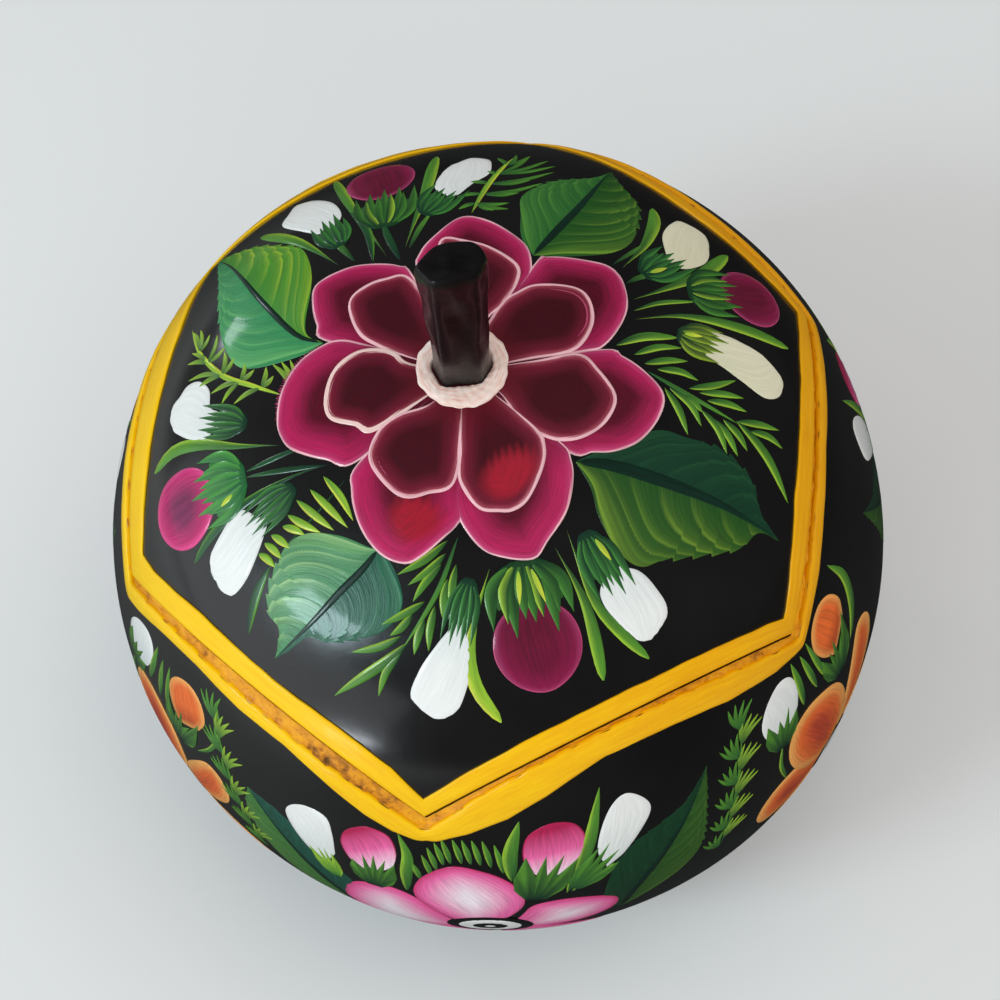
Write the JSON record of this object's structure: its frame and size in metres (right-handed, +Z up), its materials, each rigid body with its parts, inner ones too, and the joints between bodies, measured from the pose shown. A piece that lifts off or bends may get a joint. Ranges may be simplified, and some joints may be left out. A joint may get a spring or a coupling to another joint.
{
  "type": "lidded gourd box",
  "caption": "Globe-shaped dried gourd box, lacquered outside, with a six-cornered lid cut from its shoulder and the stalk as its handle.",
  "frame": {"origin": "centre of the flat foot, on the surface the box stands on", "axes": "+Z up through the stalk; -Y is the side the picture shows nearest; +X to the right of that view"},
  "size_m": [0.16, 0.16, 0.1855],
  "materials": {
    "black_lacquer": "dried gourd shell under glossy black lacquer, bare and scraped inside",
    "yellow_enamel": "thick glossy yellow enamel with brush marks",
    "lacquered_stalk": "woody gourd stalk under black lacquer",
    "cream_paint": "thick cream and pink paint with brush marks"
  },
  "bodies": {
    "bowl": {"bowl_shell": "black_lacquer", "bowl_rim_band": "yellow_enamel"},
    "lid": {"lid_shell": "black_lacquer", "lid_rim_band": "yellow_enamel", "stem": "lacquered_stalk", "stem_collar": "cream_paint"}
  },
  "joints": [
    {"name": "lid_lift", "type": "slide", "parent": "bowl", "child": "lid", "axis": [0, 0, 1], "range_m": [0, 0.08]}
  ]
}
